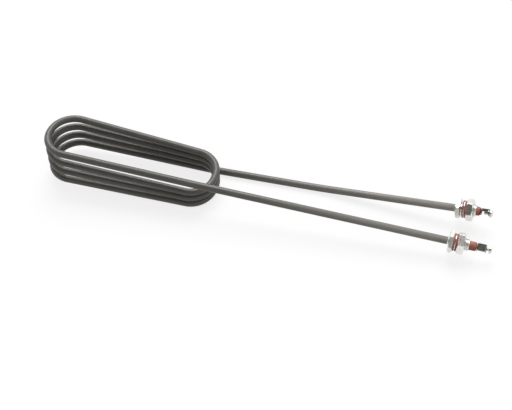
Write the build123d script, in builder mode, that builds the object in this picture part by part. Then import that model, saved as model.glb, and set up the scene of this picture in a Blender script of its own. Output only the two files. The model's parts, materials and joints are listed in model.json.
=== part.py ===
"""Tubular heating element: one sheathed tube bent into a coil of four oblong turns, with a screwed bush,
gaskets, lock nut and wire terminal on each of its two legs. Millimetres, +Z up, lying as it comes to rest."""

import os
from math import sqrt

from build123d import *

os.makedirs("parts", exist_ok=True)

# Tube: a thin sheath filled with pressed powder around the resistance wire
sheath_diameter = 8.5
sheath_wall = 0.8
wire_envelope = 3.0
cold_length = 45.0

# Coil, in its own frame: runs along X, turns stacked downwards from the top one
turns = 4
run_length = 150.2
left_half_width = 30.5
right_half_width = 28.3
bend_fill = 0.97
front_left_top, front_left_pitch = 0.5, 15.35
rear_left_top, rear_left_pitch = 1.0, 14.65
front_right_top, front_right_pitch = -3.2, 9.65
rear_right_top, rear_right_pitch = -6.6, 8.4

# Legs: gentle set where each leaves the coil, then nearly straight to its bush
leg_bend_radius = 300.0
front_leg_set = (170.7, -27.9, 3.1)
rear_leg_set = (165.0, 28.8, -32.4)
rear_leg_bow = (300.0, 30.3, -19.8)
bush_x, bush_half_spacing, bush_level = 457.6, 24.1, 10.5

# How the coil frame lies in the part's frame, resting on the last turn and the rear leg's bow
coil_origin = (-232.69, 0.06, 51.99)
rest_roll, rest_pitch = -0.3, 5.33

# Screwed bush and what is threaded on it, as distances along the bush from the back of its collar
thread_radius = 7.0
across_flats = 22.0
collar_length = 5.5
bush_length = 22.5
trim_radius, trim_dome = across_flats / 2 - 0.9, 22.8
thread_chamfer = 1.0
tube_fit = 0.05
thread_fit = 0.02
mouth_depth = 3.5
gasket_radius, gasket_thickness = 9.75, 1.6
washer_radius, washer_thickness = 9.4, 0.8
nut_thickness = 8.2
bead_length = 4.0
seal_radius, seal_shoulder = 5.0, 1.2

# Wire terminal: folded strap welded to the pin, clamped by a screw along the axis
strap_thickness = 0.9
strap_gap = 0.3
strap_width = 8.0
strap_length = 10.0
strap_offset = 3.9
strap_depth = 7.4
fold_radius = 0.7
lip_length, lip_depth = 6.4, 2.2
screw_radius, screw_drop, screw_length = 2.0, 1.0, 7.0
head_radius, head_height, head_round = 4.0, 2.4, 1.2
slot_length, slot_width, slot_depth = 4.4, 1.0, 1.1
clamp_washer_radius, clamp_washer_thickness = 4.5, 0.8
washer_fit = 0.15

# What differs between the two ends: hexagon angles, position of the stack, reach of the seal, screw slack
ends = ("front", "rear")
collar_turn = {"front": 15.0, "rear": 39.4}
nut_turn = {"front": 49.4, "rear": 10.0}
strap_turn = {"front": 115.0, "rear": 42.0}
stack_start = {"front": collar_length, "rear": collar_length + 1.8}
seal_reach = {"front": 31.0, "rear": 27.0}
screw_slack = {"front": 3.0, "rear": 0.0}

bore_radius = sheath_diameter / 2 - sheath_wall
coil_frame = Plane(origin=coil_origin).rotated((rest_roll, rest_pitch, 0))


def placed(x, y, z):
    """A point of the coil frame, in the part's frame."""
    return coil_frame.from_local_coords(Vector(x, y, z))


def bush_seat(set_point, side):
    """Plane at the back of a bush's collar, facing along the leg that the bush is brazed to."""
    centre = placed(bush_x, side * bush_half_spacing, bush_level)
    axis = (centre - placed(*set_point)).normalized()
    across = Vector(0, 1, 0)
    across = across - axis * across.dot(axis)
    return Plane(origin=centre, x_dir=across, z_dir=axis)


seat = {"front": bush_seat(front_leg_set, -1), "rear": bush_seat(rear_leg_bow, 1)}


def route(end_distance):
    """Centre line of the tube between two points at end_distance along the bushes."""
    points = [seat["front"].origin + seat["front"].z_dir * end_distance, placed(*front_leg_set)]
    radii = [leg_bend_radius]
    for turn in range(turns):
        points.append(placed(-left_half_width, -left_half_width, front_left_top - turn * front_left_pitch))
        points.append(placed(-left_half_width, left_half_width, rear_left_top - turn * rear_left_pitch))
        radii += [bend_fill * left_half_width] * 2
        if turn < turns - 1:
            right_x = run_length + right_half_width
            points.append(placed(right_x, right_half_width, rear_right_top - turn * rear_right_pitch))
            next_front = front_right_top - (turn + 1) * front_right_pitch
            points.append(placed(right_x, -right_half_width, next_front))
            radii += [bend_fill * right_half_width] * 2
    points += [placed(*rear_leg_set), placed(*rear_leg_bow)]
    radii += [leg_bend_radius] * 2
    points.append(seat["rear"].origin + seat["rear"].z_dir * end_distance)
    return points, radii


def swept_tube(end_distance, outer, inner):
    """Round section carried along the tube's centre line, hollow where inner is given."""
    points, radii = route(end_distance)
    with BuildPart() as tube:
        with BuildLine() as centre_line:
            FilletPolyline(*points, radius=radii)
        path = centre_line.wire()
        for radius, mode in ((outer, Mode.ADD), (inner, Mode.SUBTRACT)):
            if radius:
                with BuildSketch(Plane(origin=path @ 0, z_dir=path % 0)):
                    Circle(radius)
                sweep(path=path, mode=mode)
    return tube


sheath_end = bush_length - mouth_depth
powder_end = sheath_end - bead_length

sheath = swept_tube(sheath_end, sheath_diameter / 2, bore_radius)
sheath.part.label = "sheath_tube"
export_step(sheath.part, "parts/sheath_tube.step")

powder = swept_tube(powder_end, bore_radius, wire_envelope / 2)
powder.part.label = "insulation_core"
export_step(powder.part, "parts/insulation_core.step")

wire = swept_tube(-cold_length, wire_envelope / 2, 0)
wire.part.label = "resistance_wire"
export_step(wire.part, "parts/resistance_wire.step")


def ring(base, start, thickness, outer, inner):
    """Flat ring about a bush's axis."""
    with BuildPart() as flat:
        with BuildSketch(base.offset(start)):
            Circle(outer)
            Circle(inner, mode=Mode.SUBTRACT)
        extrude(amount=thickness)
    return flat


def hexagon(base, start, thickness, turn):
    """Hexagonal block about a bush's axis, its corners trimmed by a shallow dome at both faces."""
    dome_centre = sqrt(trim_dome**2 - trim_radius**2)
    with BuildPart() as block:
        with BuildSketch(base.offset(start)):
            RegularPolygon(across_flats / 2, 6, major_radius=False, rotation=turn - 30)
        extrude(amount=thickness)
        for centre in (start + dome_centre, start + thickness - dome_centre):
            with Locations(base.offset(centre)):
                Sphere(trim_dome, mode=Mode.INTERSECT)
    return block


def threaded_bush(end):
    """Bush with a hexagonal collar, brazed on the sheath; its barrel carries a metric thread."""
    base = seat[end]
    with BuildPart() as bush:
        add(hexagon(base, 0, collar_length, collar_turn[end]).part)
        with BuildSketch(base.offset(collar_length)):
            Circle(thread_radius)
        extrude(amount=bush_length - collar_length)
        rim = bush.faces().filter_by(GeomType.PLANE).sort_by(Axis(base.origin, base.z_dir))[-1]
        chamfer(rim.edges(), length=thread_chamfer)
        with BuildSketch(base):
            Circle(sheath_diameter / 2 + tube_fit)
        extrude(amount=bush_length, mode=Mode.SUBTRACT)
        with BuildSketch(base.offset(sheath_end)):
            Circle(seal_radius)
        extrude(amount=mouth_depth, mode=Mode.SUBTRACT)
    bush.part.label = f"threaded_bush_{end}"
    export_step(bush.part, f"parts/threaded_bush_{end}.step")


def sealing_stack(end):
    """Two soft gaskets with a metal washer between them, drawn up by the lock nut."""
    base = seat[end]
    loose = thread_radius + thread_fit
    start = stack_start[end]
    layers = (
        ("inner_gasket", gasket_thickness, gasket_radius),
        ("spacer_washer", washer_thickness, washer_radius),
        ("outer_gasket", gasket_thickness, gasket_radius),
    )
    for name, thickness, radius in layers:
        layer = ring(base, start, thickness, radius, loose)
        layer.part.label = f"{name}_{end}"
        export_step(layer.part, f"parts/{name}_{end}.step")
        start += thickness
    with BuildPart() as nut:
        add(hexagon(base, start, nut_thickness, nut_turn[end]).part)
        with BuildSketch(base.offset(start)):
            Circle(loose)
        extrude(amount=nut_thickness, mode=Mode.SUBTRACT)
    nut.part.label = f"lock_nut_{end}"
    export_step(nut.part, f"parts/lock_nut_{end}.step")


def tube_mouth(end):
    """Cold pin, the bead that holds it central in the tube's mouth, and the soft plug outside the bead."""
    base = seat[end]
    pin_end = seal_reach[end] + strap_gap + strap_thickness
    with BuildPart() as pin:
        with BuildSketch(base.offset(-cold_length)):
            Circle(wire_envelope / 2)
        extrude(amount=cold_length + pin_end)
    pin.part.label = f"terminal_pin_{end}"
    export_step(pin.part, f"parts/terminal_pin_{end}.step")

    with BuildPart() as bead:
        with BuildSketch(base.offset(powder_end)):
            Circle(bore_radius)
            Circle(wire_envelope / 2, mode=Mode.SUBTRACT)
        extrude(amount=bead_length)
    bead.part.label = f"mouth_bead_{end}"
    export_step(bead.part, f"parts/mouth_bead_{end}.step")

    with BuildPart() as seal:
        with BuildSketch(base.offset(sheath_end)):
            Circle(seal_radius)
        extrude(amount=seal_reach[end] - sheath_end)
        outer_face = seal.faces().filter_by(GeomType.PLANE).sort_by(Axis(base.origin, base.z_dir))[-1]
        chamfer(outer_face.edges(), length=seal_shoulder)
        with BuildSketch(base.offset(sheath_end)):
            Circle(wire_envelope / 2)
        extrude(amount=seal_reach[end] - sheath_end, mode=Mode.SUBTRACT)
    seal.part.label = f"end_seal_{end}"
    export_step(seal.part, f"parts/end_seal_{end}.step")


def turned(base, angle):
    """A bush's plane turned about its own axis."""
    return Plane(
        origin=base.origin, x_dir=base.x_dir.rotate(Axis(base.origin, base.z_dir), angle), z_dir=base.z_dir
    )


def strap(end):
    """Plated strip folded into a U: near leg welded on the pin, far leg tapped for the clamp screw."""
    base = turned(seat[end], strap_turn[end])
    near = seal_reach[end] + strap_gap
    side = Plane(origin=base.offset(near).origin, x_dir=base.z_dir, z_dir=base.y_dir)
    with BuildPart() as clip:
        with BuildSketch(side) as outside:
            with Locations((strap_length / 2, strap_offset - strap_depth / 2)):
                Rectangle(strap_length, strap_depth)
            fillet(outside.vertices().group_by(Axis.Y)[-1], radius=fold_radius + strap_thickness)
        extrude(amount=strap_width / 2, both=True)
        with BuildSketch(side) as inside:
            with Locations((strap_length / 2, strap_offset - strap_thickness - strap_depth / 2)):
                Rectangle(strap_length - 2 * strap_thickness, strap_depth)
            fillet(inside.vertices().group_by(Axis.Y)[-1], radius=fold_radius)
        extrude(amount=strap_width / 2, both=True, mode=Mode.SUBTRACT)
        with BuildSketch(side.offset(strap_width / 2 - strap_thickness)):
            with Locations((strap_length / 2, strap_offset - strap_thickness - lip_depth / 2)):
                Rectangle(lip_length, lip_depth)
        extrude(amount=strap_thickness)
        with BuildSketch(base.offset(near)):
            Circle(wire_envelope / 2 + thread_fit)
        extrude(amount=strap_thickness, mode=Mode.SUBTRACT)
        with BuildSketch(base.offset(near + strap_length - strap_thickness)):
            with Locations((-screw_drop, 0)):
                Circle(screw_radius + thread_fit)
        extrude(amount=strap_thickness, mode=Mode.SUBTRACT)
    clip.part.label = f"terminal_clip_{end}"
    export_step(clip.part, f"parts/terminal_clip_{end}.step")


def clamp(end):
    """Pan-head screw with a cross recess, and the washer under its head that grips the lead."""
    centre = turned(seat[end], strap_turn[end])
    base = Plane(origin=centre.origin - centre.x_dir * screw_drop, x_dir=centre.x_dir, z_dir=centre.z_dir)
    under_head = seal_reach[end] + strap_gap + strap_length + clamp_washer_thickness + screw_slack[end]
    washer = ring(base, under_head - clamp_washer_thickness, clamp_washer_thickness,
                  clamp_washer_radius, screw_radius + washer_fit)
    washer.part.label = f"clamp_washer_{end}"
    export_step(washer.part, f"parts/clamp_washer_{end}.step")

    with BuildPart() as screw:
        with BuildSketch(base.offset(under_head)):
            Circle(head_radius)
        extrude(amount=head_height)
        crown = screw.faces().sort_by(Axis(base.origin, base.z_dir))[-1]
        fillet(crown.edges(), radius=head_round)
        with BuildSketch(base.offset(under_head - screw_length)):
            Circle(screw_radius)
        extrude(amount=screw_length)
        with BuildSketch(base.offset(under_head + head_height - slot_depth)):
            Rectangle(slot_length, slot_width)
            Rectangle(slot_width, slot_length)
        extrude(amount=slot_depth, mode=Mode.SUBTRACT)
    screw.part.label = f"clamp_screw_{end}"
    export_step(screw.part, f"parts/clamp_screw_{end}.step")


for end in ends:
    threaded_bush(end)
    sealing_stack(end)
    tube_mouth(end)
    strap(end)
    clamp(end)
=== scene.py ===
import json
from math import cos, pi, radians, sin, sqrt

import bmesh
import bpy
from mathutils import Matrix, Vector


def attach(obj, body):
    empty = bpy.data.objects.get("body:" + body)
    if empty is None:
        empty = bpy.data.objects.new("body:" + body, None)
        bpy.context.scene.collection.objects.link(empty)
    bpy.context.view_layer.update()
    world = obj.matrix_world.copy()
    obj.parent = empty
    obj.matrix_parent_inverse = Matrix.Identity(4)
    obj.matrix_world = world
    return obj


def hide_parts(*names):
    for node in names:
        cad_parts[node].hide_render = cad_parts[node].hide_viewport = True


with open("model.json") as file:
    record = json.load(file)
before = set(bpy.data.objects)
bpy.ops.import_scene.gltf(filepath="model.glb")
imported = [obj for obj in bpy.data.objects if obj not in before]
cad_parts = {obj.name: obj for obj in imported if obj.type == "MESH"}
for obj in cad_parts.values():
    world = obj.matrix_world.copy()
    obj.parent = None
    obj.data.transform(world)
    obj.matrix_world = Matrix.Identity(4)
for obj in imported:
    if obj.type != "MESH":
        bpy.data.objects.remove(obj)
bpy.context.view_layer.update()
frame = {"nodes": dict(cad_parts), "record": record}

collection = bpy.context.scene.collection

# Sheathed tube
# One length of thin stainless steel tube, bent cold into four oblong turns and two long legs, filled with
# pressed powder. Annealing has left a dull olive-grey oxide on it. Its colour grows paler along X towards the
# bushes.
tube_radius = 0.00425
tube_wall = 0.0008
tube_sides = 40
bend_steps = 28
turns = 4
run_length, left_half, right_half, bend_fill = 0.1502, 0.0305, 0.0283, 0.97
front_left_top, front_left_pitch = 0.0005, 0.01535
rear_left_top, rear_left_pitch = 0.001, 0.01465
front_right_top, front_right_pitch = -0.0032, 0.00965
rear_right_top, rear_right_pitch = -0.0066, 0.0084
leg_bend = 0.3
front_leg_set = Vector((0.1707, -0.0279, 0.0031))
rear_leg_set = Vector((0.165, 0.0288, -0.0324))
rear_leg_bow = Vector((0.3, 0.0303, -0.0198))
coil_place = (
    Matrix.Translation((-0.23269, 0.00006, 0.05199))
    @ Matrix.Rotation(radians(-0.3), 4, "X")
    @ Matrix.Rotation(radians(5.33), 4, "Y")
)
thread_middle = {"front": 0.0196, "rear": 0.0205}
tube_end = 0.019
pale_start, pale_stretch, pale_curve = -0.12, 0.36, 1.6
line_stretch = 14.0


def bush_seat(end):
    """Frame at the back of a bush's collar: Z along the bush, X level with the part's +Y side."""
    mount = next(m for m in frame["record"]["mounts"] if m["name"] == f"thread_{end}")
    along = Vector(mount["axis"]).normalized()
    across = Vector((0, 1, 0))
    across = (across - along * across.dot(along)).normalized()
    place = Matrix((across, along.cross(across), along)).transposed().to_4x4()
    place.translation = Vector(mount["pos_m"]) - along * thread_middle[end]
    return place


seat = {end: bush_seat(end) for end in ("front", "rear")}

corners = [(seat["front"] @ Vector((0, 0, tube_end)), 0), (coil_place @ front_leg_set, leg_bend)]
for turn in range(turns):
    left = (
        (-left_half, -left_half, front_left_top - turn * front_left_pitch),
        (-left_half, left_half, rear_left_top - turn * rear_left_pitch),
    )
    corners += [(coil_place @ Vector(point), bend_fill * left_half) for point in left]
    if turn < turns - 1:
        right = (
            (run_length + right_half, right_half, rear_right_top - turn * rear_right_pitch),
            (run_length + right_half, -right_half, front_right_top - (turn + 1) * front_right_pitch),
        )
        corners += [(coil_place @ Vector(point), bend_fill * right_half) for point in right]
corners += [(coil_place @ rear_leg_set, leg_bend), (coil_place @ rear_leg_bow, leg_bend)]
corners.append((seat["rear"] @ Vector((0, 0, tube_end)), 0))

curve = bpy.data.curves.new("sheath_line", "CURVE")
curve.dimensions = "3D"
line = curve.splines.new("POLY")
line.points.add(len(corners) - 1)
for point, (place, bend) in zip(line.points, corners):
    point.co = (*place, 1)
    point.radius = bend
sheath_line = bpy.data.objects.new("sheath_line", curve)
collection.objects.link(sheath_line)


def node_tree(name, inputs):
    """Geometry node tree with a geometry in and out and the named number inputs."""
    tree = bpy.data.node_groups.new(name, "GeometryNodeTree")
    tree.interface.new_socket("Geometry", in_out="INPUT", socket_type="NodeSocketGeometry")
    for label, kind in inputs:
        tree.interface.new_socket(label, in_out="INPUT", socket_type=kind)
    tree.interface.new_socket("Geometry", in_out="OUTPUT", socket_type="NodeSocketGeometry")
    return tree


def applied(source, tree, values, name):
    """The plain mesh object that a tree makes from source with the given input values."""
    modifier = source.modifiers.new(tree.name, "NODES")
    modifier.node_group = tree
    for item in tree.interface.items_tree:
        if item.in_out == "INPUT" and item.name in values:
            modifier[item.identifier] = values[item.name]
    evaluated = source.evaluated_get(bpy.context.evaluated_depsgraph_get())
    mesh = bpy.data.meshes.new_from_object(evaluated)
    mesh.name = name
    source.modifiers.remove(modifier)
    bpy.data.objects.remove(source)
    made = bpy.data.objects.new(name, mesh)
    collection.objects.link(made)
    return made


class Shader:
    """The nodes of a material or of the world, with short calls to add and link them."""

    def __init__(self, owner):
        owner.use_nodes = True
        self.owner = owner
        self.nodes = owner.node_tree.nodes
        self.links = owner.node_tree.links
        self.surface = self.nodes.get("Principled BSDF")

    def add(self, kind, settings=(), **inputs):
        """New node with its settings and inputs. An underscore in an input's name stands for a space."""
        node = self.nodes.new(kind)
        for key, value in dict(settings).items():
            setattr(node, key, value)
        for key, value in inputs.items():
            self.join(value, node.inputs[key.replace("_", " ")])
        return node

    def join(self, value, socket):
        """Links an output to a socket, or writes a plain value in it."""
        if isinstance(value, bpy.types.NodeSocket):
            self.links.new(value, socket)
        else:
            socket.default_value = value

    def noise(self, vector, scale, detail=3.0, rough=0.55):
        """Cloudy pattern between 0 and 1."""
        node = self.add("ShaderNodeTexNoise", Vector=vector, Scale=scale, Detail=detail, Roughness=rough)
        return node.outputs["Fac"]

    def ramp(self, factor, stops):
        """Colour along the stops, where a stop of one number is a grey."""
        node = self.add("ShaderNodeValToRGB", Fac=factor)
        while len(node.color_ramp.elements) < len(stops):
            node.color_ramp.elements.new(0.5)
        for element, (place, colour) in zip(node.color_ramp.elements, stops):
            element.position = place
            element.color = (*colour, 1) if len(colour) == 3 else (colour[0],) * 3 + (1,)
        return node.outputs["Color"]

    def maths(self, operation, first, second=0.0, third=0.0, clamp=False):
        """Result of one calculation with up to three values."""
        node = self.nodes.new("ShaderNodeMath")
        node.operation = operation
        node.use_clamp = clamp
        for socket, value in zip(node.inputs, (first, second, third)):
            self.join(value, socket)
        return node.outputs[0]

    def stretched(self, vector, scales):
        """A vector whose pattern is drawn out along the axes with a small scale."""
        node = self.add("ShaderNodeVectorMath", {"operation": "MULTIPLY"})
        self.join(vector, node.inputs[0])
        self.join(scales, node.inputs[1])
        return node.outputs["Vector"]

    def blend(self, factor, first, second):
        """Colour between the first, at 0, and the second, at 1."""
        node = self.add("ShaderNodeMix", {"data_type": "RGBA"})
        sockets = {socket.identifier: socket for socket in node.inputs}
        for label, value in (("Factor_Float", factor), ("A_Color", first), ("B_Color", second)):
            self.join(value, sockets[label])
        return next(socket for socket in node.outputs if socket.identifier == "Result_Color")

    def bump(self, height, distance, strength):
        """Fine relief on the surface."""
        node = self.add("ShaderNodeBump", Height=height, Distance=distance, Strength=strength)
        self.links.new(node.outputs["Normal"], self.surface.inputs["Normal"])

    def finish(self, colour, metallic, roughness):
        """Sets the surface's colour and gloss, and gives back the material."""
        self.join(colour, self.surface.inputs["Base Color"])
        self.surface.inputs["Metallic"].default_value = metallic
        self.join(roughness, self.surface.inputs["Roughness"])
        return self.owner


def oxide_steel():
    """Cloudy dark oxide on steel, with drawing lines along the tube; the colour grows paler along X towards
    the bushes.
    """
    shade = Shader(bpy.data.materials.new("oxide_steel"))
    along = shade.add("ShaderNodeAttribute", {"attribute_name": "along_tube"}).outputs["Fac"]
    around = shade.add("ShaderNodeAttribute", {"attribute_name": "around_tube"}).outputs["Fac"]
    angle = shade.maths("MULTIPLY", around, 2 * pi)
    rim = shade.add(
        "ShaderNodeCombineXYZ", X=shade.maths("COSINE", angle), Y=shade.maths("SINE", angle),
        Z=shade.maths("MULTIPLY", along, line_stretch),
    ).outputs["Vector"]
    lines = shade.noise(rim, 9.0, 4.0, 0.6)
    position = shade.add("ShaderNodeTexCoord").outputs["Object"]
    clouds = shade.noise(position, 60.0, 4.0, 0.6)
    grains = shade.noise(position, 900.0, 2.0, 0.6)
    dark = shade.ramp(lines, ((0.3, (0.078, 0.073, 0.064)), (0.75, (0.115, 0.108, 0.096))))
    cover = shade.ramp(clouds, ((0.35, (0.0,)), (0.75, (0.5,))))
    cloudy = shade.blend(cover, dark, (0.135, 0.124, 0.104, 1))
    # Paler colour, blended in by the position along X so that it grows towards the bushes.
    paler_colour = shade.ramp(lines, ((0.3, (0.32, 0.305, 0.278)), (0.75, (0.44, 0.42, 0.385))))
    place = shade.add("ShaderNodeSeparateXYZ", Vector=position).outputs["X"]
    pale = shade.maths("MULTIPLY_ADD", place, 1.0 / pale_stretch, -pale_start / pale_stretch, clamp=True)
    pale = shade.maths("POWER", pale, pale_curve)
    colour = shade.blend(pale, cloudy, paler_colour)
    rough = shade.maths("MULTIPLY_ADD", clouds, 0.22, 0.28)
    shade.bump(shade.maths("ADD", shade.maths("MULTIPLY", lines, 0.6), grains), 0.00006, 0.6)
    return shade.finish(colour, 0.05, rough)


tree = node_tree("tube_from_line", (
    ("Tube Radius", "NodeSocketFloat"), ("Sides", "NodeSocketInt"), ("Bend Steps", "NodeSocketInt"),
))
given = tree.nodes.new("NodeGroupInput")
made = tree.nodes.new("NodeGroupOutput")
bends = tree.nodes.new("GeometryNodeInputRadius")
fillet = tree.nodes.new("GeometryNodeFilletCurve")
fillet.mode = "POLY"
even = tree.nodes.new("GeometryNodeSetCurveRadius")
even.inputs["Radius"].default_value = 1.0
travel = tree.nodes.new("GeometryNodeSplineParameter")
keep_travel = tree.nodes.new("GeometryNodeCaptureAttribute")
keep_travel.capture_items.new("FLOAT", "Along")
turn_share = tree.nodes.new("GeometryNodeSplineParameter")
keep_turn = tree.nodes.new("GeometryNodeCaptureAttribute")
keep_turn.capture_items.new("FLOAT", "Around")
rim = tree.nodes.new("GeometryNodeCurvePrimitiveCircle")
skin = tree.nodes.new("GeometryNodeCurveToMesh")
store_along = tree.nodes.new("GeometryNodeStoreNamedAttribute")
store_along.inputs["Name"].default_value = "along_tube"
store_around = tree.nodes.new("GeometryNodeStoreNamedAttribute")
store_around.inputs["Name"].default_value = "around_tube"
smooth = tree.nodes.new("GeometryNodeSetShadeSmooth")
real = tree.nodes.new("GeometryNodeRealizeInstances")
paint = tree.nodes.new("GeometryNodeSetMaterial")
paint.inputs["Material"].default_value = oxide_steel()
join = tree.links.new
join(given.outputs["Geometry"], fillet.inputs["Curve"])
join(bends.outputs["Radius"], fillet.inputs["Radius"])
join(given.outputs["Bend Steps"], fillet.inputs["Count"])
join(fillet.outputs["Curve"], even.inputs["Curve"])
join(even.outputs["Curve"], keep_travel.inputs["Geometry"])
join(travel.outputs["Length"], keep_travel.inputs["Along"])
join(given.outputs["Tube Radius"], rim.inputs["Radius"])
join(given.outputs["Sides"], rim.inputs["Resolution"])
join(rim.outputs["Curve"], keep_turn.inputs["Geometry"])
join(turn_share.outputs["Factor"], keep_turn.inputs["Around"])
join(keep_travel.outputs["Geometry"], skin.inputs["Curve"])
join(keep_turn.outputs["Geometry"], skin.inputs["Profile Curve"])
join(skin.outputs["Mesh"], store_along.inputs["Geometry"])
join(keep_travel.outputs["Along"], store_along.inputs["Value"])
join(store_along.outputs["Geometry"], store_around.inputs["Geometry"])
join(keep_turn.outputs["Around"], store_around.inputs["Value"])
join(store_around.outputs["Geometry"], smooth.inputs["Geometry"])
join(smooth.outputs["Geometry"], real.inputs["Geometry"])
join(real.outputs["Geometry"], paint.inputs["Geometry"])
join(paint.outputs["Geometry"], made.inputs["Geometry"])
sheath = applied(
    sheath_line, tree, {"Tube Radius": tube_radius, "Sides": tube_sides, "Bend Steps": bend_steps}, "sheath"
)
wall = sheath.modifiers.new("wall", "SOLIDIFY")
wall.thickness = tube_wall
wall.offset = -1
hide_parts("sheath_tube")
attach(sheath, "root")

# Threaded bushes
# Turned from free-cutting brass bar, threaded M14 by 1.5 and nickel plated. Each is pushed over the tube's
# end and brazed behind its hexagonal collar, and its counterbored mouth holds the root of the soft end seal.
across_flats = 0.022
corner_trim, trim_dome = 0.0009, 0.0228
corner_sharpness = 130
collar_length, bush_length, mouth_depth = 0.0055, 0.0225, 0.0035
thread_radius, thread_pitch, thread_depth, thread_start = 0.007, 0.0015, 0.00092, 0.0066
root_share, flank_share = 0.2, 0.68
end_chamfer, bush_play = 0.001, 0.00005
seal_radius = 0.005
braze_height, braze_length = 0.0011, 0.0012
braze_fillet = ((1, 0), (0.5, 0.2), (0.2, 0.55), (0, 1))
crease = radians(48)
broken_edge = 0.00012
collar_turn = {"front": 15.0, "rear": 39.4}
corner_spread = (0, 0.9, 2, 3.6, 6, 10, 15, 22, 30, 38, 45, 50, 54, 56.4, 58, 59.1)


def angles_of(turn):
    """Angles round a hexagon whose flat looks turn degrees from the level side, closer at its corners."""
    return [radians(turn + 30 + 60 * corner + step) for corner in range(6) for step in corner_spread]


def even_angles(count):
    """Angles that part a full turn evenly."""
    return [2 * pi * step / count for step in range(count)]


def hexagon(turn):
    """Reach of the hexagonal bar at an angle, with its corners slightly rounded."""
    def reach(angle):
        pulls = (max(cos(angle - radians(turn + 60 * side)), 0) ** corner_sharpness for side in range(6))
        return across_flats / 2 / sum(pulls) ** (1 / corner_sharpness)
    return reach


def hexagon_rows(start, length, turn):
    """Rows of a hexagonal block, its corners trimmed at both faces by a shallow dome."""
    bar = hexagon(turn)
    flat = across_flats / 2 - corner_trim

    def rise(angle):
        return sqrt(trim_dome**2 - flat**2) - sqrt(trim_dome**2 - bar(angle) ** 2)

    return [
        (start, flat, 1),
        (lambda angle: start + rise(angle), bar, 1),
        (lambda angle: start + length - rise(angle), bar, 1),
        (start + length, flat, 1),
    ]


def thread_rows(start, end, radius, pitch, depth, cone, steps=10):
    """Rows of a screw thread between two heights. It fades in over half a turn, and cone gives the largest
    reach at a height."""
    def reach_at(height):
        fade = min((height - start) / (pitch / 2), 1)

        def reach(angle):
            wave = abs(2 * ((height / pitch - angle / (2 * pi)) % 1) - 1)
            ridge = min(max((wave - root_share) / flank_share, 0), 1)
            return min(radius - depth * (1 - fade * ridge), cone(height))
        return reach

    count = round((end - start) / pitch * steps)
    heights = [start + (end - start) * step / count for step in range(count + 1)]
    return [(height, reach_at(height), 0) for height in heights]


def turned(name, place, rows, angles, edge=broken_edge, capped=False):
    """Piece turned about its own axis. A row is a height, a reach and whether its edge is broken. Height and
    reach may be functions of the angle. The last row joins the first, unless both ends are capped."""
    shell = bmesh.new()
    broken = shell.edges.layers.float.new("bevel_weight_edge")
    loops = []
    for height, reach, _ in rows:
        loop = []
        for angle in angles:
            out = reach(angle) if callable(reach) else reach
            up = height(angle) if callable(height) else height
            loop.append(shell.verts.new(place @ Vector((out * cos(angle), out * sin(angle), up))))
        loops.append(loop)
    pairs = list(zip(loops, loops[1:]))
    if capped:
        shell.faces.new(loops[0])
        shell.faces.new(loops[-1])
    else:
        pairs.append((loops[-1], loops[0]))
    for low, high in pairs:
        for here in range(len(angles)):
            after = (here + 1) % len(angles)
            shell.faces.new((low[here], low[after], high[after], high[here]))
    for loop, (_, _, sharp) in zip(loops, rows):
        for here, vert in enumerate(loop):
            side = shell.edges.get((vert, loop[(here + 1) % len(loop)]))
            side[broken] = sharp
    bmesh.ops.recalc_face_normals(shell, faces=shell.faces)
    for face in shell.faces:
        face.smooth = True
    for side in shell.edges:
        side.smooth = side.calc_face_angle(0) < crease or side[broken] > 0
    mesh = bpy.data.meshes.new(name)
    shell.to_mesh(mesh)
    shell.free()
    piece = bpy.data.objects.new(name, mesh)
    collection.objects.link(piece)
    if edge:
        soft = piece.modifiers.new("broken_edges", "BEVEL")
        soft.limit_method = "WEIGHT"
        soft.width = edge
        soft.segments = 2
    even = piece.modifiers.new("even_normals", "WEIGHTED_NORMAL")
    even.keep_sharp = True
    return piece


def hand_over(piece, node, material):
    """Gives a finished piece its material and lets it stand for a node of the frame."""
    piece.data.materials.clear()
    piece.data.materials.append(material)
    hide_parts(node)
    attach(piece, "root")


def nickel_plate():
    """Nickel plating over turned metal: bright, faintly warm, with tool marks, a dull bloom and scuffs."""
    shade = Shader(bpy.data.materials.new("nickel_plate"))
    position = shade.add("ShaderNodeTexCoord").outputs["Object"]
    marks = shade.noise(shade.stretched(position, (1.0, 0.12, 0.12)), 4200.0, 2.0, 0.5)
    bloom = shade.noise(position, 260.0, 4.0, 0.6)
    scuffs = shade.noise(position, 1500.0, 3.0, 0.7)
    colour = shade.ramp(bloom, ((0.3, (0.68, 0.665, 0.63)), (0.7, (0.88, 0.865, 0.83))))
    worn = shade.ramp(scuffs, ((0.56, (0.0,)), (0.72, (0.5,))))
    colour = shade.blend(worn, colour, (0.45, 0.43, 0.39, 1))
    rough = shade.maths("MULTIPLY_ADD", bloom, 0.16, 0.16)
    rough = shade.maths("MULTIPLY_ADD", marks, 0.08, rough)
    shade.bump(shade.maths("ADD", marks, scuffs), 0.00002, 0.5)
    return shade.finish(colour, 1.0, rough)


plating = nickel_plate()
tube_bore = tube_radius + bush_play
for end in ("front", "rear"):
    rows = [(-braze_length * back, tube_bore + braze_height * rise, 0) for back, rise in braze_fillet]
    rows += hexagon_rows(0, collar_length, collar_turn[end])
    rows += [(collar_length, thread_radius - thread_depth, 0)]
    rows += thread_rows(
        thread_start, bush_length, thread_radius, thread_pitch, thread_depth,
        lambda height: thread_radius - end_chamfer + bush_length - height,
    )
    rows += [
        (bush_length, seal_radius, 1),
        (bush_length - mouth_depth, seal_radius, 0),
        (bush_length - mouth_depth, tube_bore, 0),
    ]
    bush = turned(f"bush_{end}", seat[end], rows, angles_of(collar_turn[end]))
    hand_over(bush, f"threaded_bush_{end}", plating)

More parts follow.
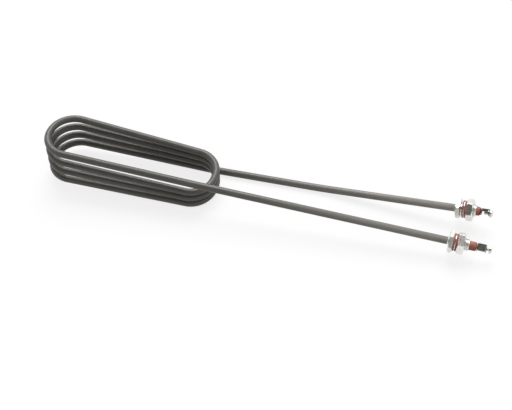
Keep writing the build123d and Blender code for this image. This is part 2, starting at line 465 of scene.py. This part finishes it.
# Gaskets
# Two soft rings of brick-red silicone on each bush, stamped from sheet. The lock nut squeezes them against
# the panel, or against the loose washer while the heater is unmounted, so that their rims bulge a little.
gasket_radius, gasket_thickness = 0.00975, 0.0016
washer_radius, washer_thickness = 0.0094, 0.0008
gasket_bulge, gasket_edge, washer_edge = 0.00018, 0.00035, 0.0001
ring_sides = 72
bore_play = 0.00002
loose_bore = thread_radius + bore_play
stack_gap = {"front": 0.0, "rear": 0.0018}
stack_start = {end: collar_length + stack_gap[end] for end in ("front", "rear")}


def silicone():
    """Brick-red silicone rubber: matt, a little mottled, with a dusty bloom and fine pores."""
    shade = Shader(bpy.data.materials.new("silicone"))
    position = shade.add("ShaderNodeTexCoord").outputs["Object"]
    mottle = shade.noise(position, 420.0, 4.0, 0.6)
    pores = shade.noise(position, 3800.0, 2.0, 0.6)
    colour = shade.ramp(mottle, ((0.3, (0.29, 0.09, 0.062)), (0.7, (0.44, 0.16, 0.115))))
    dust = shade.ramp(pores, ((0.5, (0.0,)), (0.8, (0.35,))))
    colour = shade.blend(dust, colour, (0.48, 0.24, 0.19, 1))
    rough = shade.maths("MULTIPLY_ADD", mottle, 0.25, 0.42)
    shade.bump(shade.maths("ADD", pores, mottle), 0.00005, 0.5)
    return shade.finish(colour, 0.0, rough)


def flat_ring(name, place, start, thickness, outer, inner, edge, bulge=0.0):
    """Ring with broken rims and, where it is soft, a bulging outer wall."""
    rows = [
        (start, inner, 1),
        (start, outer, 1),
        (start + thickness / 2, outer + bulge, 0),
        (start + thickness, outer, 1),
        (start + thickness, inner, 1),
    ]
    return turned(name, place, rows, even_angles(ring_sides), edge)


rubber = silicone()
outer_start = gasket_thickness + washer_thickness
for end in ("front", "rear"):
    for layer, offset in (("inner", 0), ("outer", outer_start)):
        gasket = flat_ring(
            f"gasket_{layer}_{end}", seat[end], stack_start[end] + offset, gasket_thickness,
            gasket_radius, loose_bore, gasket_edge, gasket_bulge,
        )
        hand_over(gasket, f"{layer}_gasket_{end}", rubber)

# Spacer washers
# Stamped steel washer between the two gaskets of each bush, nickel plated like the bush. It takes the place
# of the panel, so that the gaskets keep their shape in transport.
for end in ("front", "rear"):
    washer = flat_ring(
        f"washer_{end}", seat[end], stack_start[end] + gasket_thickness, washer_thickness,
        washer_radius, loose_bore, washer_edge,
    )
    hand_over(washer, f"spacer_washer_{end}", plating)

# Lock nuts
# Hexagon nut of the same bar and plating as the bush, run down its thread by hand. Both faces are trimmed to
# a shallow dome, and the bore is countersunk so that it starts easily.
nut_thickness = 0.0082
nut_turn = {"front": 49.4, "rear": 10.0}
countersink = 0.0006
for end in ("front", "rear"):
    start = stack_start[end] + outer_start + gasket_thickness
    rows = hexagon_rows(start, nut_thickness, nut_turn[end])
    rows += [
        (start + nut_thickness, loose_bore + countersink, 1),
        (start + nut_thickness - countersink, loose_bore, 0),
        (start + countersink, loose_bore, 0),
        (start, loose_bore + countersink, 1),
    ]
    nut = turned(f"nut_{end}", seat[end], rows, angles_of(nut_turn[end]))
    hand_over(nut, f"lock_nut_{end}", plating)

# End seals
# Plug of the same red silicone, cast in the bush's mouth round the terminal pin. It keeps damp out of the
# powder, and stands out of the mouth with a rounded shoulder.
seal_reach = {"front": 0.031, "rear": 0.027}
swell_start, seal_swell = 0.0005, 0.0001
seal_shoulder = ((0.0030, 0), (0.0014, 0.00015), (0.0006, 0.0006), (0.0001, 0.0014), (0, 0.0022))
seal_sides = 64
pin_radius = 0.0015
pin_play = 0.00001
seal_dip = ((0.0002, 0.0004), (0.0005, pin_play))
for end in ("front", "rear"):
    root, reach = bush_length - mouth_depth, seal_reach[end]
    rows = [
        (root, pin_radius + pin_play, 0),
        (root, seal_radius - bore_play, 0),
        (bush_length, seal_radius - bore_play, 0),
        (bush_length + swell_start, seal_radius + seal_swell, 0),
    ]
    rows += [(reach - fall, seal_radius - inset, 0) for fall, inset in seal_shoulder]
    rows += [(reach - fall, pin_radius + spread, 0) for fall, spread in seal_dip]
    seal = turned(f"seal_{end}", seat[end], rows, even_angles(seal_sides), 0)
    hand_over(seal, f"end_seal_{end}", rubber)

# Terminal pins
# Steel pin that carries the current through the cold end of the tube to the wire terminal. Its outer end is
# upset and welded in the hole of the clip.
strap_thickness, strap_gap = 0.0009, 0.0003
cold_length = 0.045
pin_point = 0.0002
pin_head = ((0, 0), (0.0001, 0.0006), (0.0004, 0.0004), (0.0006, -0.0005))
pin_sides = 32


def pin_steel():
    """Drawn steel wire, grey, with die lines along it and a darker heat tint."""
    shade = Shader(bpy.data.materials.new("pin_steel"))
    position = shade.add("ShaderNodeTexCoord").outputs["Object"]
    lines = shade.noise(shade.stretched(position, (0.06, 1.0, 1.0)), 3200.0, 2.0, 0.5)
    tint = shade.noise(position, 300.0, 3.0, 0.6)
    colour = shade.blend(tint, (0.34, 0.33, 0.31, 1), (0.17, 0.15, 0.13, 1))
    shade.bump(lines, 0.00002, 0.5)
    return shade.finish(colour, 1.0, shade.maths("MULTIPLY_ADD", lines, 0.2, 0.3))


steel = pin_steel()
for end in ("front", "rear"):
    tip = seal_reach[end] + strap_gap + strap_thickness
    rows = [(-cold_length, pin_radius - pin_point, 0), (-cold_length + pin_point, pin_radius, 0)]
    rows += [(tip + rise, pin_radius + spread, 0) for rise, spread in pin_head]
    pin = turned(f"pin_{end}", seat[end], rows, even_angles(pin_sides), 0, capped=True)
    hand_over(pin, f"terminal_pin_{end}", steel)

# Terminal clips
# Strip of plated steel, blanked and folded to a U with a stiffening lip. The near leg is welded on the pin,
# and the far leg is tapped for the clamp screw.
merge_within, flat_within = 0.00001, radians(1)
fold_crease, fold_corner, fold_edge = radians(35), radians(40), 0.00015


def dull_plate():
    """Dull nickel plating on pressed steel: grey, with darker stains and a fine grain."""
    shade = Shader(bpy.data.materials.new("dull_plate"))
    position = shade.add("ShaderNodeTexCoord").outputs["Object"]
    stains = shade.noise(position, 500.0, 4.0, 0.65)
    grains = shade.noise(position, 2600.0, 3.0, 0.6)
    colour = shade.ramp(stains, ((0.3, (0.16, 0.155, 0.14)), (0.72, (0.34, 0.33, 0.305))))
    rough = shade.maths("MULTIPLY_ADD", grains, 0.25, 0.22)
    shade.bump(grains, 0.00003, 0.5)
    return shade.finish(colour, 1.0, rough)


dull = dull_plate()
for end in ("front", "rear"):
    mesh = frame["nodes"][f"terminal_clip_{end}"].data.copy()
    shell = bmesh.new()
    shell.from_mesh(mesh)
    bmesh.ops.remove_doubles(shell, verts=shell.verts, dist=merge_within)
    bmesh.ops.dissolve_limit(shell, angle_limit=flat_within, verts=shell.verts, edges=shell.edges)
    for face in shell.faces:
        face.smooth = True
    for side in shell.edges:
        side.smooth = side.calc_face_angle(0) < fold_crease
    shell.to_mesh(mesh)
    shell.free()
    clip = bpy.data.objects.new(f"clip_{end}", mesh)
    collection.objects.link(clip)
    soft = clip.modifiers.new("broken_edges", "BEVEL")
    soft.limit_method = "ANGLE"
    soft.angle_limit = fold_corner
    soft.width = fold_edge
    soft.segments = 2
    even = clip.modifiers.new("even_normals", "WEIGHTED_NORMAL")
    even.keep_sharp = True
    hand_over(clip, f"terminal_clip_{end}", dull)

# Clamp washers and screws
# M4 pan-head screw with a cross recess and a loose washer, plated steel. The lead's eyelet goes between
# washer and clip. The front screw stands 3 mm open.
strap_length = 0.01
strap_turn = {"front": 115.0, "rear": 42.0}
screw_drop, screw_radius, screw_length, screw_pitch = 0.001, 0.002, 0.007, 0.0007
screw_thread_depth, screw_point, screw_chamfer, screw_neck = 0.00043, 0.0001, 0.0005, 0.0004
head_radius, head_height, head_edge = 0.004, 0.0024, 0.0003
head_shoulder = ((0.0013, 0), (0.0009, 0.00012), (0.0005, 0.0005))
head_crown = ((0.0002, 0.0011), (0.00005, 0.0019), (0, 0.003))
screw_sides, thread_steps = 56, 8
clamp_radius, clamp_thickness, clamp_play = 0.0045, 0.0008, 0.00015
screw_slack = {"front": 0.003, "rear": 0.0}
recess_length, recess_width, recess_depth, recess_taper = 0.0044, 0.001, 0.0011, 0.4


def cross_cutter(place, top):
    """Plus-shaped plug that cuts the recess, narrower at its bottom."""
    shell = bmesh.new()
    arm, half = recess_length / 2, recess_width / 2
    loops = []
    for height, share in ((top - recess_depth, 1 - recess_taper), (top + recess_depth, 1 + recess_taper)):
        loop = []
        for quarter in range(4):
            turn = Matrix.Rotation(quarter * pi / 2, 4, "Z")
            for x, y in ((half, -half), (arm * share, -half), (arm * share, half)):
                loop.append(shell.verts.new(place @ turn @ Vector((x, y, height))))
        loops.append(loop)
    for loop in loops:
        shell.faces.new(loop)
    for here in range(len(loops[0])):
        after = (here + 1) % len(loops[0])
        shell.faces.new((loops[0][here], loops[0][after], loops[1][after], loops[1][here]))
    bmesh.ops.recalc_face_normals(shell, faces=shell.faces)
    mesh = bpy.data.meshes.new("recess")
    shell.to_mesh(mesh)
    shell.free()
    cutter = bpy.data.objects.new("recess", mesh)
    collection.objects.link(cutter)
    return cutter


for end in ("front", "rear"):
    screw_seat = (
        seat[end]
        @ Matrix.Rotation(radians(strap_turn[end]), 4, "Z")
        @ Matrix.Translation((-screw_drop, 0, 0))
    )
    under_head = seal_reach[end] + strap_gap + strap_length + clamp_thickness + screw_slack[end]
    washer = flat_ring(
        f"clamp_ring_{end}", screw_seat, under_head - clamp_thickness, clamp_thickness,
        clamp_radius, screw_radius + clamp_play, washer_edge,
    )
    hand_over(washer, f"clamp_washer_{end}", plating)

    tip = under_head - screw_length
    rows = [(tip, screw_radius - screw_chamfer - screw_point, 1)]
    rows += thread_rows(
        tip + screw_point, under_head - screw_neck, screw_radius, screw_pitch, screw_thread_depth,
        lambda height: screw_radius - screw_chamfer + height - tip, thread_steps,
    )
    crown = under_head + head_height
    rows += [
        (under_head - head_edge, screw_radius - screw_neck / 2, 0),
        (under_head, screw_radius, 0),
        (under_head, head_radius - head_edge, 1),
        (under_head + head_edge, head_radius, 0),
    ]
    rows += [(crown - fall, head_radius - inset, 0) for fall, inset in head_shoulder + head_crown]
    screw = turned(f"screw_{end}", screw_seat, rows, even_angles(screw_sides), 0, capped=True)
    recess = screw.modifiers.new("recess", "BOOLEAN")
    recess.operation = "DIFFERENCE"
    recess.object = cross_cutter(screw_seat, crown)
    screw.modifiers.move(1, 0)
    evaluated = screw.evaluated_get(bpy.context.evaluated_depsgraph_get())
    cut = bpy.data.meshes.new_from_object(evaluated)
    bpy.data.objects.remove(recess.object)
    screw.modifiers.clear()
    screw.data = cut
    hand_over(screw, f"clamp_screw_{end}", plating)

# Powder, resistance wire and beads
# Inside the tube: the wire in its bed of pressed magnesia, and at each mouth a fired bead that holds the pin
# in the middle. None of it shows, but each has the finish that a cut would lay open.


def mineral(name, light, dark, size):
    """Pressed or fired mineral: pale, matt and grainy."""
    shade = Shader(bpy.data.materials.new(name))
    position = shade.add("ShaderNodeTexCoord").outputs["Object"]
    grains = shade.noise(position, size, 5.0, 0.7)
    shade.bump(grains, 0.00008, 0.6)
    colour = shade.blend(grains, (*dark, 1), (*light, 1))
    return shade.finish(colour, 0.0, shade.maths("MULTIPLY_ADD", grains, 0.2, 0.6))


def resistance_alloy():
    """Nickel-chrome wire with the grey-brown skin of its first heating."""
    shade = Shader(bpy.data.materials.new("resistance_alloy"))
    position = shade.add("ShaderNodeTexCoord").outputs["Object"]
    tint = shade.noise(position, 350.0, 4.0, 0.6)
    colour = shade.blend(tint, (0.16, 0.13, 0.11, 1), (0.30, 0.27, 0.24, 1))
    return shade.finish(colour, 1.0, shade.maths("MULTIPLY_ADD", tint, 0.25, 0.35))


inside = {
    "insulation_core": mineral("pressed_powder", (0.82, 0.80, 0.75), (0.60, 0.58, 0.53), 900.0),
    "resistance_wire": resistance_alloy(),
}
fired = mineral("fired_bead", (0.80, 0.76, 0.68), (0.66, 0.61, 0.52), 1400.0)
inside.update({f"mouth_bead_{end}": fired for end in ("front", "rear")})
for node, finish in inside.items():
    mesh = frame["nodes"][node].data
    for place in range(len(mesh.materials)):
        mesh.materials[place] = finish

# Studio
# Pale floor that keeps a faint shadow, an even white surround that mirrors dimly from above and the front,
# and one broad soft lamp high behind the part.
white = (1, 1, 1, 1)
floor_half = 6.0
paper_glow, paper_bounce = 0.8, (0.1, 0.1, 0.1, 1)
dim_way = Vector((-0.17, -0.4, 0.9)).normalized()
dim_steps = ((0.5, (1.0,)), (0.74, (0.6,)), (0.86, (0.32,)), (0.94, (0.08,)))
ambient = (0.45, 0.45, 0.45, 1)
lamp_level, lamp_spread, lamp_way = 0.7 * pi, radians(40), Vector((0.1, -0.55, -0.83))
camera_place = (0.29535, -0.71138, 0.89377)
camera_turn = (radians(40.271), radians(4.735), radians(17.527))
sensor_width, focal_length = 36.0, 70.3125

floor_mesh = bpy.data.meshes.new("floor")
floor_mesh.from_pydata(
    [(x * floor_half, y * floor_half, 0) for x, y in ((-1, -1), (1, -1), (1, 1), (-1, 1))], [], [(0, 1, 2, 3)]
)
floor = bpy.data.objects.new("floor", floor_mesh)
collection.objects.link(floor)
paper = Shader(bpy.data.materials.new("paper"))
paper.nodes.clear()
rays = paper.add("ShaderNodeLightPath").outputs
seen = paper.maths("MAXIMUM", rays["Is Camera Ray"], rays["Is Glossy Ray"])
seen = paper.maths("MAXIMUM", seen, rays["Is Transmission Ray"])
matt = paper.add("ShaderNodeBsdfDiffuse", Color=paper.blend(seen, paper_bounce, white))
glow = paper.add("ShaderNodeEmission", Color=white, Strength=1.0)
mixed = paper.add("ShaderNodeMixShader", Fac=paper.maths("MULTIPLY", seen, paper_glow))
paper.join(matt.outputs["BSDF"], mixed.inputs[1])
paper.join(glow.outputs["Emission"], mixed.inputs[2])
paper.add("ShaderNodeOutputMaterial", Surface=mixed.outputs["Shader"])
floor_mesh.materials.append(paper.owner)

world = bpy.data.worlds.new("surround")
scene = bpy.context.scene
scene.world = world
surround = Shader(world)
surround.nodes.clear()
rays = surround.add("ShaderNodeLightPath").outputs
toward = surround.add("ShaderNodeVectorMath", {"operation": "DOT_PRODUCT"})
surround.join(surround.add("ShaderNodeTexCoord").outputs["Generated"], toward.inputs[0])
surround.join(dim_way, toward.inputs[1])
dim = surround.ramp(toward.outputs["Value"], dim_steps)
mirrored = surround.maths("MAXIMUM", rays["Is Glossy Ray"], rays["Is Transmission Ray"])
level = surround.blend(rays["Is Camera Ray"], surround.blend(mirrored, ambient, dim), white)
sky = surround.add("ShaderNodeBackground", Color=level)
surround.add("ShaderNodeOutputWorld", Surface=sky.outputs["Background"])

light = bpy.data.lights.new("overhead", "SUN")
light.energy = lamp_level
light.angle = lamp_spread
lamp = bpy.data.objects.new("overhead", light)
lamp.rotation_euler = lamp_way.to_track_quat("-Z", "Y").to_euler()
collection.objects.link(lamp)

camera = bpy.data.cameras.new("camera")
camera.sensor_width = sensor_width
camera.lens = focal_length
view = bpy.data.objects.new("camera", camera)
view.location = camera_place
view.rotation_euler = camera_turn
collection.objects.link(view)
scene.camera = view
scene.view_settings.view_transform = "Standard"
